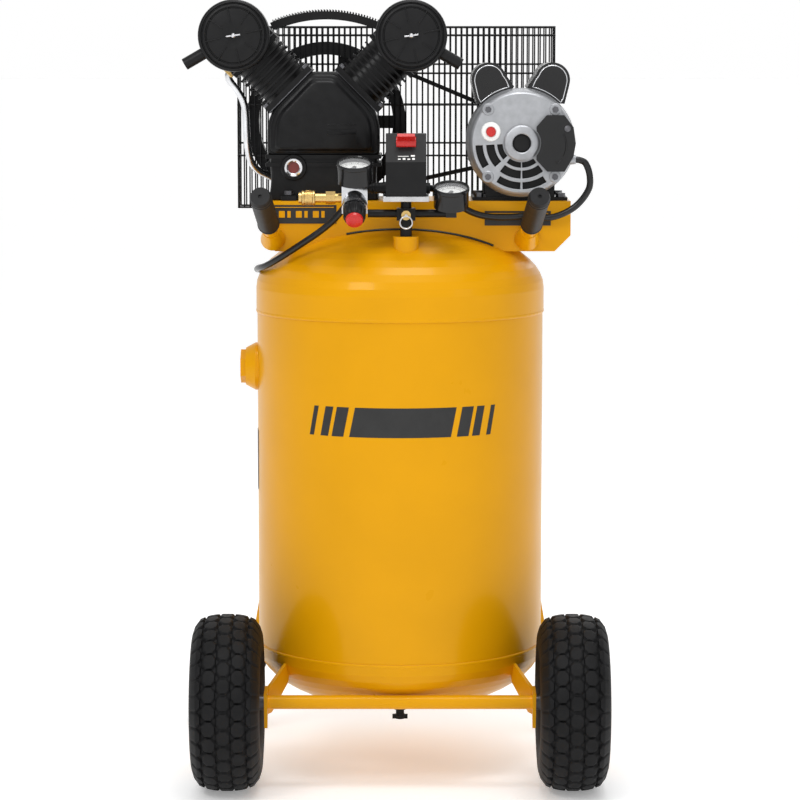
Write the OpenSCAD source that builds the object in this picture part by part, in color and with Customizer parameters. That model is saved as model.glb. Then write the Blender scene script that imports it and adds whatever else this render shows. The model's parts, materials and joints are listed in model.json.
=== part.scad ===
// Upright wheeled workshop air compressor: tank, V-twin belt-driven pump and motor.
// Millimetres, +Z up. The origin is on the floor, at the middle of the overall box.

/* [Tank] */
// Outer radius of the rolled tank shell
tank_r = 220; // [212:1:224]
// Height of the lower head seam above the floor
seam_low = 186; // [182:1:190]
// Height of the upper head seam above the floor
seam_high = 706; // [640:2:720]
// Wall thickness of the shell and heads
tank_wall = 3; // [2:0.5:4]

/* [Wheels] */
// Outer radius of the pneumatic tyres
tyre_r = 132; // [126:1:134]
// Width of each tyre
tyre_w = 104; // [98:1:106]
// Distance from the tank axis to the middle of each wheel
track_half = 258; // [257:1:264]

/* [Deck] */
// Width of the deck to the left of the tank axis
deck_left = 205; // [190:1:206]
// Width of the deck to the right of the tank axis
deck_right = 258; // [240:1:270]
// Height of the deck top above the upper seam
deck_rise = 169; // [166:1:172]

/* [Pump] */
// Sideways place of the crankshaft
pump_x = -116; // [-120:1:-112]
// Height of the crankshaft above the deck
crank_rise = 115; // [114:1:118]
// Radius of the pump flywheel
flywheel_r = 125; // [118:1:128]
// Cylinder bore radius
bore_r = 30; // [26:0.5:32]
// Piston travel
stroke = 44; // [36:1:46]

/* [Motor] */
// Sideways place of the motor shaft
motor_x = 182; // [176:1:184]
// Height of the motor shaft above the deck
motor_rise = 88; // [86:1:92]
// Radius of the motor shell
motor_r = 80; // [74:1:81]
// Radius of the motor pulley
pulley_r = 35; // [30:1:40]

/* [Air fittings] */
// Radius of each gauge case
gauge_r = 26; // [22:0.5:27]
// Diameter of the power cord
cord_d = 10; // [8:0.5:10]

/* [Hidden] */
$fn = 64;

paint = "gold";
iron = [0.14, 0.14, 0.15];
steel = "silver";
plastic = [0.1, 0.1, 0.11];

// Tank
head_r = tank_r + 1.5;
head_depth = 98;
flange_high = 34;
dome_base = seam_high + flange_high;
tank_top = dome_base + head_depth;
port_z = 616;

// Wheels and legs
axle_r = 8;
axle_fit = 0.05;
wheel_y = -208;
rim_r = 52;
hub_half = 36;
foot_x = 275;
foot_y = 165;
foot_r = 24;
foot_h = 14;

// Deck
deck_z = seam_high + deck_rise;
deck_t = 3;
deck_front = -80;
deck_back = 80;
skirt_z = deck_z - 76;

// Pump
crank_z = deck_z + crank_rise;
case_front = -60;
case_back = 60;
case_half = 85;
seat_t = 70;
barrel_top = 150;
head_top = 196;
cyl_offset = 12;
filter_t = 188;
filter_r = 54;
filter_front = -104;
filter_back = -62;
snorkel_r = 9;
snorkel_tip = 86;
snorkel_drop = 30;
crank_r = 15;
throw_r = stroke / 2;
fly_y = 115;
fly_half = 17;

// Motor
motor_z = deck_z + motor_rise;
motor_front = -75;
motor_back = 60;
bell_front = -113;
shaft_r = 8;

// Belt guard
guard_left = -255;
guard_right = 243;
guard_low = deck_z - 20;
guard_high = deck_z + 264;
guard_front_y = 87;
guard_rear_y = 150;
wire = 3;

// Air fittings
switch_x = 9;
riser_y = -150;
block_z = deck_z - 17;
reg = [-67, -172, deck_z + 6];
reg_tilt = 38;
gauge_lean = 20;
tank_gauge_at = [76, -158, deck_z - 4];
reg_gauge_at = [-67, -176, deck_z + 33];
lever_at = [switch_x, -157, deck_z + 90];
coupler_z = deck_z + 9;

// The box of the whole object, which places the tank axis
left_reach = -pump_x + filter_t * sin(45) + snorkel_tip * cos(snorkel_drop)
    + snorkel_r * sin(snorkel_drop);
right_reach = track_half + tyre_w / 2;
axis_x = (left_reach - right_reach) / 2;
axis_y = (tyre_r - wheel_y - max(head_r, foot_y + foot_r)) / 2;

// Routes of the two cables, relative to the tank axis
cord_route = [
    [-49, -130, 897], [-62, -129, 892], [-80, -127, 872], [-98, -124, 850], [-122, -121, 830],
    [-150, -115, 811], [-180, -101, 791], [-203, -75, 777], [-216, -40, 771], [-220, 0, 766],
    [-218, 46, 762], [-207, 97, 747], [-186, 134, 720], [-168, 155, 676], [-163, 160, 610],
    [-163, 160, 520], [-163, 160, 430], [-164, 161, 340], [-172, 168, 260], [-194, 182, 180],
    [-222, 196, 110], [-242, 207, 56], [-250, 220, 20], [-244, 240, 6], [-244, 260, 5]
];
coil_at = [-294, 260];
coil_r = 50;
cord_tail = [[-244, 262, 15], [-244, 280, 13], [-250, 298, 9], [-262, 314, 8], [-274, 326, 8]];
lead_route = [
    [45, -140, 897], [62, -132, 892], [86, -112, 872], [116, -96, 856], [150, -92, 851],
    [192, -92, 853], [228, -93, 851], [262, -96, 866], [283, -99, 892], [285, -101, 914],
    [279, -100, 932], [271, -99, 937], [264, -99, 938]
];

// Point sets
function arc(r1, r2, z, a0, a1, n) =
    [for (i = [0:n]) let (a = a0 + (a1 - a0) * i / n) [r1 * cos(a), z + r2 * sin(a)]];
function unit(v) = v / norm(v);
function run_dir(p, i) = unit(p[min(i + 1, len(p) - 1)] - p[max(i - 1, 0)]);
function side_dir(t) = unit(cross(t, [1, 1, 0.5]));
function smooth(p, n) = concat(
    [for (i = [0:len(p) - 2], k = [0:n - 1])
        let (a = p[max(i - 1, 0)], b = p[i], c = p[i + 1], d = p[min(i + 2, len(p) - 1)], s = k / n)
        b + 0.5 * s * ((c - a) + s * ((2 * a - 5 * b + 4 * c - d) + s * (3 * (b - c) + d - a)))],
    [p[len(p) - 1]]
);
function ring_point(p, i, r, a) =
    let (t = run_dir(p, i), s = side_dir(t), u = cross(t, s)) p[i] + r * (cos(a) * s + sin(a) * u);

// A tube of radius r with flat ends, swept along the points p
module swept(p, r, sides = 10) {
    count = len(p);
    points = [for (i = [0:count - 1], k = [0:sides - 1]) ring_point(p, i, r, 360 * k / sides)];
    walls = [for (i = [0:count - 2], k = [0:sides - 1], half = [0, 1])
        let (a = i * sides + k, b = i * sides + (k + 1) % sides)
        half == 0 ? [a, a + sides, b] : [b, a + sides, b + sides]];
    ends = [for (k = [1:sides - 2], end = [0, 1])
        let (o = (count - 1) * sides)
        end == 0 ? [0, k, k + 1] : [o, o + k + 1, o + k]];
    polyhedron(points, concat(walls, ends));
}

module at_axis() {
    translate([axis_x, axis_y, 0]) children();
}

module both_sides() {
    children();
    mirror([1, 0, 0]) children();
}

// Lies a shape drawn along +Z down so that it points to the front
module to_front(p) {
    translate(p) rotate([90, 0, 0]) children();
}

module to_right(p) {
    translate(p) rotate([0, 90, 0]) children();
}

// ---------- tank ----------

module head_profile(depth, skirt) {
    inner = head_r - tank_wall - 1.5;
    polygon(concat(
        [[inner, 0], [head_r, 0]],
        arc(head_r, depth, skirt, 0, 90, 14),
        arc(inner, depth - tank_wall, skirt, 90, 0, 14)
    ));
}

// The whole tank as one filled solid, for cutting pieces that meet it
module tank_outside() {
    translate([0, 0, seam_low]) cylinder(r = tank_r, h = seam_high - seam_low);
    translate([0, 0, seam_high]) rotate_extrude($fn = 96)
        polygon(concat([[0, 0], [head_r, 0]], arc(head_r, head_depth, flange_high, 0, 90, 14)));
    translate([0, 0, seam_low]) mirror([0, 0, 1]) rotate_extrude($fn = 96)
        polygon(concat([[0, 0], [head_r, 0]], arc(head_r, head_depth, 2, 0, 90, 14)));
}

module tank_shell() {
    color(paint) at_axis() translate([0, 0, seam_low]) difference() {
        cylinder(r = tank_r, h = seam_high - seam_low);
        translate([0, 0, -1]) cylinder(r = tank_r - tank_wall, h = seam_high - seam_low + 2);
    }
}

module upper_head() {
    color(paint) at_axis() difference() {
        union() {
            translate([0, 0, seam_high]) rotate_extrude($fn = 96) head_profile(head_depth, flange_high);
            translate([switch_x, riser_y, 795]) cylinder(r = 19, h = 31);
        }
        translate([switch_x, riser_y, 780]) cylinder(r = 6, h = 60);
    }
}

module lower_head() {
    color(paint) at_axis() difference() {
        union() {
            translate([0, 0, seam_low]) mirror([0, 0, 1])
                rotate_extrude($fn = 96) head_profile(head_depth, 2);
            translate([0, 0, seam_low - head_depth - 6]) cylinder(r = 14, h = 10);
        }
        translate([0, 0, seam_low - head_depth - 10]) cylinder(r = 6.6, h = 20);
    }
}

module inspection_plug() {
    color(paint) at_axis() difference() {
        to_right([-tank_r - 26, 0, port_z]) {
            translate([0, 0, 8]) cylinder(r1 = 29, r2 = 37, h = 15);
            translate([0, 0, 23]) cylinder(r = 37, h = 10);
            cylinder(r = 26, h = 9, $fn = 6);
        }
        translate([0, 0, port_z - 60]) cylinder(r = tank_r, h = 120);
    }
}

module drain_body() {
    z = seam_low - head_depth - 6;
    color(plastic) at_axis() difference() {
        union() {
            translate([0, 0, z - 14]) cylinder(r = 6.5, h = 18);
            translate([0, 0, z - 8]) cylinder(r = 9, h = 8, $fn = 6);
        }
        translate([0, 0, z - 15]) cylinder(r = 3, h = 30);
    }
}

module drain_knob() {
    z = seam_low - head_depth - 20.3;
    color(plastic) at_axis() translate([0, 0, z]) {
        translate([0, 0, -8]) cylinder(r = 7, h = 8);
        translate([-12, -2, -8]) cube([24, 4, 7]);
        cylinder(r = 2.9, h = 6);
    }
}

// ---------- wheels, axle and legs ----------

module axle_tube() {
    color(paint) at_axis() difference() {
        to_right([-198, wheel_y, tyre_r]) cylinder(r = 10.5, h = 396);
        to_right([-199, wheel_y, tyre_r]) cylinder(r = axle_r + 0.3, h = 398);
    }
}

module axle_rod() {
    half = track_half + hub_half + 8;
    color(steel) at_axis() {
        to_right([-half, wheel_y, tyre_r]) cylinder(r = axle_r, h = 2 * half);
        both_sides() to_right([203, wheel_y, tyre_r])
            cylinder(r = 12, h = track_half - hub_half - 203.4);
    }
}

module axle_brackets() {
    color(paint) at_axis() both_sides() difference() {
        union() {
            to_right([198, wheel_y, tyre_r]) rotate([0, 0, 90]) linear_extrude(5)
                polygon([[-20, 16], [22, 20], [22, -14], [10, -18], [-8, -38]]);
            translate([200, wheel_y + 2, 0]) rotate([0, 0, 112]) rotate([90, 0, 0]) linear_extrude(5)
                polygon([[4, 112], [8, 150], [76, 176], [88, 168], [80, 146], [20, 112]]);
        }
        to_right([190, wheel_y, tyre_r]) cylinder(r = axle_r + 0.4, h = 20);
        tank_outside();
    }
}

module rear_legs() {
    color(paint) at_axis() both_sides() difference() {
        union() {
            translate([191, 112, 0]) rotate([0, 0, 33]) rotate([90, 0, 0]) linear_extrude(5)
                polygon([[-4, 285], [-4, 205], [38, 120], [74, foot_h + 4], [112, foot_h + 4],
                    [86, 90], [46, 190], [27, 285]]);
            translate([foot_x, foot_y, foot_h]) cylinder(r = foot_r - 1, h = 5);
        }
        translate([foot_x, foot_y, foot_h - 1]) cylinder(r = 4.3, h = 12);
        tank_outside();
    }
}

module rubber_feet() {
    color(plastic) at_axis() both_sides() translate([foot_x, foot_y, 0]) {
        cylinder(r = foot_r, h = foot_h - 4);
        translate([0, 0, foot_h - 4]) cylinder(r1 = foot_r, r2 = foot_r - 4, h = 4);
    }
}

module tyre_section() {
    w = tyre_w / 2;
    outer = [[rim_r, w - 18], [60, w - 9], [78, w - 1], [92, w], [108, w - 2], [120, w - 8], [128, w - 18],
        [tyre_r - 0.5, w - 32], [tyre_r, 0]];
    inner = [[rim_r, w - 26], [64, w - 17], [80, w - 9], [92, w - 8], [106, w - 10], [114, w - 16],
        [120, w - 26], [tyre_r - 9, 0]];
    polygon(concat(
        outer,
        [for (i = [len(outer) - 2:-1:0]) [outer[i][0], -outer[i][1]]],
        [for (p = inner) [p[0], -p[1]]],
        [for (i = [len(inner) - 2:-1:0]) inner[i]]
    ));
}

module tyre(side) {
    color(plastic) at_axis() translate([side * track_half, wheel_y, tyre_r]) rotate([0, 90, 0])
        rotate_extrude($fn = 96) tyre_section();
}

module rim(side) {
    w = tyre_w / 2 - 18;
    color(plastic) at_axis() to_right([side * track_half, wheel_y, tyre_r]) rotate_extrude($fn = 96) {
        polygon([[rim_r - 5, -w], [rim_r, -w], [rim_r, w], [rim_r - 5, w], [rim_r - 5, 5],
            [18, 9], [18, hub_half], [axle_r + axle_fit, hub_half], [axle_r + axle_fit, -hub_half],
            [18, -hub_half], [18, -9], [rim_r - 5, -5]]);
    }
}

module tyre_left() tyre(-1);
module rim_left() rim(-1);
module tyre_right() tyre(1);
module rim_right() rim(1);

// ---------- deck and handles ----------

module skirt_outline() {
    factor = sqrt(1 - pow(deck_front / head_r, 2));
    a = head_r * factor - 3;
    b = head_depth * factor - 3;
    low = asin((skirt_z - dome_base) / b);
    polygon(concat(
        [[-deck_left, deck_z], [-deck_left, skirt_z + 16], [-deck_left + 16, skirt_z]],
        [for (i = [0:20]) let (t = 180 - low - (180 - 2 * low) * i / 20)
            [a * cos(t), dome_base + b * sin(t)]],
        [[deck_right - 24, skirt_z], [deck_right, skirt_z + 24], [deck_right, deck_z]]
    ));
}

// The handle's own line: from the deck skirt, up, forward and a little outward
module along_handle() {
    translate([192, deck_front, 818]) rotate([66.5, 0, 4]) children();
}

module handle_tube() {
    difference() {
        along_handle() {
            cylinder(r = 11, h = 176);
            cylinder(r1 = 19, r2 = 12, h = 34);
        }
        translate([100, deck_front + deck_t, 700]) cube([200, 60, 300]);
    }
}

module deck() {
    color(paint) at_axis() difference() {
        union() {
            translate([-deck_left, deck_front, deck_z - deck_t])
                cube([deck_left + deck_right, deck_back - deck_front, deck_t]);
            to_front([0, deck_front + deck_t, 0]) linear_extrude(deck_t) skirt_outline();
            to_front([0, deck_back, 0]) linear_extrude(deck_t) skirt_outline();
            both_sides() handle_tube();
        }
        for (x = [pump_x - 52, pump_x + 52], y = [-68.5, 68.5])
            translate([x, y, deck_z - 10]) cylinder(r = 4.5, h = 20);
        for (x = [motor_x - 62, motor_x + 62], y = [-50, 34])
            translate([x, y, deck_z - 10]) cylinder(r = 4.5, h = 20);
        tank_outside();
    }
}

module grips() {
    color(plastic) at_axis() both_sides() along_handle() difference() {
        union() {
            translate([0, 0, 62]) cylinder(r = 16, h = 112);
            translate([0, 0, 174]) cylinder(r1 = 16, r2 = 14, h = 6);
        }
        translate([0, 0, 61]) cylinder(r = 11, h = 115);
        translate([0, 0, 170]) cylinder(r = 3, h = 14);
    }
}

// ---------- pump ----------

module case_outline(grow = 0) {
    shoulder = seat_t * sqrt(2) - case_half;
    top = seat_t * sqrt(2) - 20 + grow / 2;
    polygon([[-20 - grow / 2, top], [20 + grow / 2, top],
        [case_half + grow, shoulder], [case_half + grow, -46], [case_half - 3, -50],
        [case_half - 6, -crank_rise + 26], [case_half - 2, -crank_rise], [-case_half + 2, -crank_rise],
        [-case_half + 6, -crank_rise + 26], [-case_half + 3, -50], [-case_half - grow, -46],
        [-case_half - grow, shoulder]]);
}

module at_crank() {
    at_axis() translate([pump_x, 0, crank_z]) children();
}

// Stands children on the axis of the cylinder on that side, with +Z away from the crankshaft
module at_cylinder(side) {
    at_crank() translate([0, side * cyl_offset, 0]) rotate([0, side * 45, 0]) children();
}

module crankcase() {
    color(iron) difference() {
        at_crank() union() {
            to_front([0, case_back, 0]) linear_extrude(case_back - case_front) case_outline();
            for (z = [-52, -64])
                translate([-case_half - 3, case_front - 2, z]) cube([2 * case_half + 6, 122, 6]);
            to_front([-45, case_front + 2, -65]) cylinder(r = 20, h = 6);
            for (x = [-64, 40], y = [-77, 59]) translate([x, y, -crank_rise]) cube([24, 18, 9]);
            to_front([0, case_back + 8, 0]) cylinder(r = 34, h = 10);
        }
        at_crank() to_front([0, case_back - 12, 0]) cylinder(r = 54, h = 130);
        at_crank() to_front([0, case_back + 9, 0]) cylinder(r = crank_r + 0.05, h = 24);
        at_cylinder(-1) cylinder(r = bore_r + 1, h = 90);
        at_cylinder(1) cylinder(r = bore_r + 1, h = 90);
        for (x = [-52, 52], y = [-68.5, 68.5])
            at_crank() translate([x, y, -crank_rise - 1]) cylinder(r = 4.5, h = 12);
    }
}

module crankcase_cover() {
    color(iron) at_crank() difference() {
        union() {
            to_front([0, case_front, 0]) linear_extrude(5) intersection() {
                case_outline(-4);
                translate([-90, -44]) square([180, 125]);
            }
            to_front([0, case_front - 4.5, 0]) linear_extrude(6) intersection() {
                case_outline(-16);
                translate([-90, -38]) square([180, 104]);
            }
        }
        to_front([0, case_front + 1, 0]) cylinder(r = 52, h = 5);
    }
}

module sight_glass() {
    color(steel) at_crank() to_front([-45, case_front - 4, -65]) difference() {
        cylinder(r = 14, h = 7);
        translate([0, 0, 4]) cylinder(r = 9, h = 4);
    }
}

module cylinder_barrel(side) {
    color(iron) at_cylinder(side) difference() {
        union() {
            translate([-46, -46, seat_t]) cube([92, 92, 9]);
            translate([0, 0, seat_t]) cylinder(r = 38, h = barrel_top - seat_t);
            for (z = [86:9:131]) translate([-43, -43, z]) cube([86, 86, 3]);
            translate([-44, -44, barrel_top - 8]) cube([88, 88, 8]);
        }
        translate([0, 0, seat_t - 1]) cylinder(r = bore_r, h = barrel_top);
    }
}

module cylinder_left() cylinder_barrel(-1);
module cylinder_right() cylinder_barrel(1);

module cylinder_head(side) {
    color(iron) at_cylinder(side) difference() {
        union() {
            translate([-44, -44, barrel_top]) cube([88, 88, 16]);
            translate([-36, -40, barrel_top + 10]) cube([72, 80, 30]);
            for (x = [-40:10:40])
                translate([x - 1.5, -44, barrel_top + 12]) cube([3, 88, head_top - barrel_top - 12]);
        }
        translate([0, 0, barrel_top - 1]) cylinder(r = bore_r - 4, h = 12);
        for (x = [-38, 38], y = [-38, 38])
            translate([x, y, barrel_top + 16]) cylinder(r = 6, h = 40);
    }
}

module head_left() cylinder_head(-1);
module head_right() cylinder_head(1);

module filter_housing(side) {
    at = [side * filter_t * sin(45), filter_back, filter_t * cos(45)];
    color(plastic) at_crank() difference() {
        union() {
            to_front(at) rotate_extrude() polygon([[0, 0], [40, 0], [50, 4], [filter_r, 12], [filter_r, 30],
                [filter_r - 3, 35], [46, 35], [44, 39], [30, 42], [0, 42]]);
            to_front([at[0], side * cyl_offset - 44, at[2] - 4])
                cylinder(r = 13, h = side * cyl_offset - 42 - filter_back);
            translate([at[0], filter_back - 20, at[2]]) rotate([0, side * (90 + snorkel_drop), 0])
                cylinder(r = snorkel_r, h = snorkel_tip);
        }
        translate([at[0], filter_back - 20, at[2]]) rotate([0, side * (90 + snorkel_drop), 0])
            translate([0, 0, snorkel_tip - 26]) cylinder(r = snorkel_r - 2, h = 30);
    }
}

module filter_left() filter_housing(-1);
module filter_right() filter_housing(1);

module discharge_tube() {
    route = smooth([[-258.8, -8, 1070.4], [-265, -8, 1064], [-269, -5, 1050], [-264, 3, 1015],
        [-250, 14, 968], [-238, 28, 938], [-222, 44, 920], [-204, 60, 910], [-192, 69, 901],
        [-190, 70, 889]], 3);
    color(steel) at_axis() {
        swept(route, 5.5, 12);
        translate([-190, 70, deck_z]) cylinder(r = 8, h = 14, $fn = 6);
    }
}

module crankshaft() {
    color(steel) at_crank() {
        to_front([0, fly_y + fly_half + 6, 0]) cylinder(r = crank_r, h = fly_y + fly_half - 20);
        to_front([0, 36, 0]) difference() {
            cylinder(r = 46, h = 14);
            translate([-60, 12, -1]) cube([120, 60, 16]);
        }
        to_front([-throw_r * sin(45), 22, -throw_r * cos(45)]) cylinder(r = 10, h = 46);
    }
}

module spoke(angle) {
    rotate([0, 0, angle]) translate([24, -10, -5]) cube([flywheel_r - 40, 20, 10]);
}

module flywheel() {
    color(iron) at_crank() to_front([0, fly_y, 0]) difference() {
        union() {
            rotate_extrude($fn = 96) polygon([[flywheel_r - 20, -fly_half], [flywheel_r, -fly_half],
                [flywheel_r, -8], [flywheel_r - 9, -4], [flywheel_r - 9, 4], [flywheel_r, 8],
                [flywheel_r, fly_half], [flywheel_r - 20, fly_half]]);
            for (k = [0:4]) spoke(k * 72);
            translate([0, 0, -20]) cylinder(r = 28, h = 40);
        }
        translate([0, 0, -21]) cylinder(r = crank_r, h = 42);
    }
}

module piston(side) {
    top = barrel_top - 2;
    color(steel) at_cylinder(side) difference() {
        union() {
            translate([0, 0, top - 38]) cylinder(r = bore_r - 0.05, h = 38);
            translate([-7, -5, top - 56]) cube([14, 10, 40]);
        }
        translate([0, 0, top - 39]) difference() {
            cylinder(r = bore_r - 5, h = 31);
            translate([-8, -6, -1]) cube([16, 12, 40]);
        }
    }
}

module piston_left() piston(-1);
module piston_right() piston(1);

// ---------- drive ----------

module belt_loop(grow) {
    far = [motor_x - pump_x, motor_z - crank_z];
    turn = 90 - asin((flywheel_r - pulley_r) / norm(far));
    slope = atan2(far[1], far[0]);
    polygon(concat(
        [for (i = [0:48]) let (a = slope + turn + (360 - 2 * turn) * i / 48)
            (flywheel_r - 8 + grow) * [cos(a), sin(a)]],
        [for (i = [0:16]) let (a = slope - turn + 2 * turn * i / 16)
            far + (pulley_r - 8 + grow) * [cos(a), sin(a)]]
    ));
}

module v_belt() {
    color(plastic) at_crank() to_front([0, fly_y + 3.2, 0]) linear_extrude(6.4) difference() {
        belt_loop(6);
        belt_loop(-0.5);
    }
}

module wire_panel(y, shaft_holes = false) {
    pitch = 20.75;
    width = guard_right - guard_left;
    height = guard_high - guard_low;
    color(plastic) at_axis() to_front([guard_left, y, guard_low]) linear_extrude(wire) difference() {
        square([width, height]);
        for (x = [wire + 1:pitch:width - pitch + 1], z = [wire:(height - wire) / 4:height - 20])
            translate([x, z]) square([pitch - wire, (height - wire) / 4 - wire]);
        if (shaft_holes) {
            translate([pump_x - guard_left, crank_z - guard_low]) circle(r = crank_r + 7);
            translate([motor_x - guard_left, motor_z - guard_low]) circle(r = shaft_r + 7);
        }
    }
}

module guard_front() {
    wire_panel(guard_front_y + wire, true);
    color(plastic) at_axis() for (x = [-195, 30, 240])
        translate([x - 6, deck_back, guard_low + 1]) cube([12, guard_front_y + 1 - deck_back, 13]);
}

module guard_rear() {
    wire_panel(guard_rear_y + wire);
}

// The wires and the arch that join the two panels of the guard
module guard_sides() {
    span = guard_rear_y - guard_front_y - wire;
    color(plastic) at_axis() {
        for (x = [guard_left, guard_right - wire], z = [guard_low + 6, guard_low + 140, guard_high - wire])
            translate([x, guard_front_y + wire, z]) cube([wire, span, wire]);
        translate([pump_x, guard_rear_y, guard_high - 194]) rotate([90, 0, 0]) rotate([0, 0, 67.5])
            rotate_extrude(angle = 45, $fn = 120) translate([206, 0]) square([12, span]);
    }
}

// ---------- motor ----------

module at_motor() {
    at_axis() translate([motor_x, 0, motor_z]) children();
}

module motor_shell() {
    color(iron) at_motor() to_front([0, motor_back, 0]) difference() {
        cylinder(r = motor_r, h = motor_back - motor_front, $fn = 96);
        translate([0, 0, 8]) cylinder(r = motor_r - 3, h = 200, $fn = 96);
        translate([0, 0, -1]) cylinder(r = shaft_r + 0.05, h = 12);
    }
}

// One cooling slot of the end bell: a ring sector between two radii
module bell_slot(r0, r1, a0, a1) {
    rotate([0, 0, a0]) rotate_extrude(angle = a1 - a0, $fn = 96) translate([r0, -1]) square([r1 - r0, 9]);
}

module motor_end_bell() {
    depth = motor_front - bell_front;
    color(steel) at_motor() to_front([0, motor_front, 0]) difference() {
        union() {
            rotate_extrude($fn = 96) polygon([[0, depth - 5], [motor_r - 6, depth - 5],
                [motor_r - 4, 0], [motor_r + 1, 0], [motor_r + 1, 10], [motor_r - 2, depth - 6],
                [motor_r - 8, depth], [0, depth]]);
            translate([0, 0, depth]) cylinder(r1 = 30, r2 = 26, h = 4);
            for (a = [45:90:315])
                rotate([0, 0, a]) translate([motor_r - 9, 0, depth - 12]) cylinder(r = 9, h = 13);
            translate([66, -25, 24]) rotate([0, 90, 0]) cylinder(r = 7, h = 16);
        }
        translate([0, 0, depth - 6]) cylinder(r = 14, h = 20);
        translate([-46, 17, depth - 6]) cylinder(r = 7.05, h = 20);
        translate([0, 0, depth - 6]) {
            for (a = [183, 216, 272, 306]) bell_slot(34, 43, a, a + 28);
            for (a = [183, 228, 272, 306]) bell_slot(48, 58, a, a + 31);
            for (a = [186, 244, 273]) bell_slot(62, 70, a, a + 26);
        }
    }
}

module capacitor_covers() {
    color(plastic) at_motor() both_sides() to_front([0, motor_back - 24, 0])
        linear_extrude(motor_back - 24.1 - motor_front)
        difference() {
            union() {
                translate([48, 94]) circle(r = 26);
                polygon([[10, 84], [23, 102], [48, 94], [73, 86], [66, 58], [30, 60]]);
            }
            circle(r = motor_r, $fn = 96);
        }
}

module terminal_cover() {
    color(plastic) at_motor() to_front([0, bell_front, 0]) difference() {
        linear_extrude(12) polygon([[38, 40], [62, 40], [78, 16], [80, -2], [78, -18], [66, -40],
            [40, -40], [34, -28], [32, -9], [32, 9], [33, 21]]);
        translate([0, 0, 8]) rotate([0, 0, -22])
            rotate_extrude(angle = 34) translate([56, 0]) square([8, 5]);
    }
}

module motor_cradle() {
    color(iron) at_motor() difference() {
        union() {
            translate([-72, -62, -motor_rise]) cube([144, 108, 5]);
            for (y = [-58, 36]) translate([-52, y, -motor_rise]) cube([104, 6, 42]);
        }
        to_front([0, 100, 0]) cylinder(r = motor_r, h = 220, $fn = 96);
        for (x = [-62, 62], y = [-50, 34]) translate([x, y, -motor_rise - 1]) cylinder(r = 4.5, h = 8);
    }
}

module reset_button() {
    color("red") at_motor() to_front([-46, bell_front + 3, 17]) cylinder(r = 7, h = 8);
}

module motor_rotor() {
    color(steel) at_motor() {
        to_front([0, fly_y + 14, 0]) cylinder(r = shaft_r, h = fly_y + 14 + 72);
        to_front([0, 40, 0]) cylinder(r = 46, h = 84);
    }
}

module motor_pulley() {
    color(iron) at_motor() to_front([0, fly_y, 0]) difference() {
        rotate_extrude() polygon([[0, -12], [pulley_r, -12], [pulley_r, -8], [pulley_r - 9, -4],
            [pulley_r - 9, 4], [pulley_r, 8], [pulley_r, 12], [0, 12]]);
        translate([0, 0, -13]) cylinder(r = shaft_r, h = 26);
    }
}

module hex_bolt(size, high) {
    cylinder(r = size, h = high, $fn = 6);
}

module fasteners() {
    color(steel) {
        for (side = [-1, 1], x = [-38, 38], y = [-38, 38])
            at_cylinder(side) translate([x, y, barrel_top + 16]) hex_bolt(4.5, 5);
        for (x = [pump_x - 52, pump_x + 52], y = [-68.5, 68.5])
            at_axis() translate([x, y, deck_z + 9]) hex_bolt(7, 6);
        for (x = [motor_x - 62, motor_x + 62], y = [-50, 34])
            at_axis() translate([x, y, deck_z + 5]) hex_bolt(7, 6);
        for (a = [45:90:315])
            at_motor() to_front([0, bell_front - 1, 0])
                rotate([0, 0, a]) translate([motor_r - 9, 0, 0]) hex_bolt(5, 5);
        for (side = [-1, 1])
            at_axis() to_right([side * (track_half + hub_half + 4.4) - 4, wheel_y, tyre_r]) difference() {
                hex_bolt(13, 8);
                translate([0, 0, -1]) cylinder(r = axle_r, h = 10);
            }
    }
}

// ---------- air fittings ----------

module switch_body() {
    color(plastic) at_axis() difference() {
        switch_shape();
        to_right(lever_at - [15, 0, 0]) cylinder(r = 9.5, h = 30);
        to_right(lever_at - [20, 0, 0]) cylinder(r = 2.55, h = 40);
    }
}

module switch_shape() {
    union() {
        translate([switch_x - 30, 0, 0]) rotate([90, 0, 90]) linear_extrude(60)
            polygon([[-178, deck_z + 12], [-178, deck_z + 62], [-152, deck_z + 103], [-112, deck_z + 103],
                [-104, deck_z + 66], [-104, deck_z + 12]]);
        translate([switch_x - 33, -176, deck_z + 4]) cube([66, 70, 8]);
        to_right([switch_x - 58, -130, deck_z + 22]) cylinder(r1 = cord_d / 2 + 1.3, r2 = 9, h = 29);
        to_right([switch_x + 30, -140, deck_z + 22]) cylinder(r = 8, h = 6);
    }
}

module switch_lever() {
    color("red") at_axis() translate(lever_at) {
        to_right([-14.6, 0, 0]) cylinder(r = 9, h = 29.2);
        to_right([-20, 0, 0]) cylinder(r = 2.5, h = 40);
        rotate([57.6, 0, 0]) translate([-13, -2.5, 7]) cube([26, 5, 15]);
    }
}

module manifold() {
    color(iron) at_axis() {
        translate([switch_x, riser_y, 826]) cylinder(r = 9, h = block_z - 826 - 8);
        translate([switch_x - 14, riser_y - 14, block_z - 8]) cube([28, 28, 18]);
        translate([switch_x, riser_y, block_z + 10]) cylinder(r = 8, h = 11);
        to_right([reg[0] + 19, riser_y, block_z + 2]) cylinder(r = 6, h = switch_x - 14 - reg[0] - 19);
        to_right([switch_x + 14, riser_y, block_z + 2])
            cylinder(r = 6, h = tank_gauge_at[0] - switch_x - 22);
    }
}

module safety_valve() {
    color("goldenrod") at_axis() to_front([switch_x, riser_y - 14, block_z + 1]) difference() {
        union() {
            cylinder(r = 7, h = 8, $fn = 6);
            translate([0, 0, 8]) cylinder(r = 5.5, h = 14);
            translate([0, 0, 22]) cylinder(r = 7, h = 4);
        }
        translate([0, 0, 14]) cylinder(r = 2.25, h = 14);
    }
}

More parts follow.
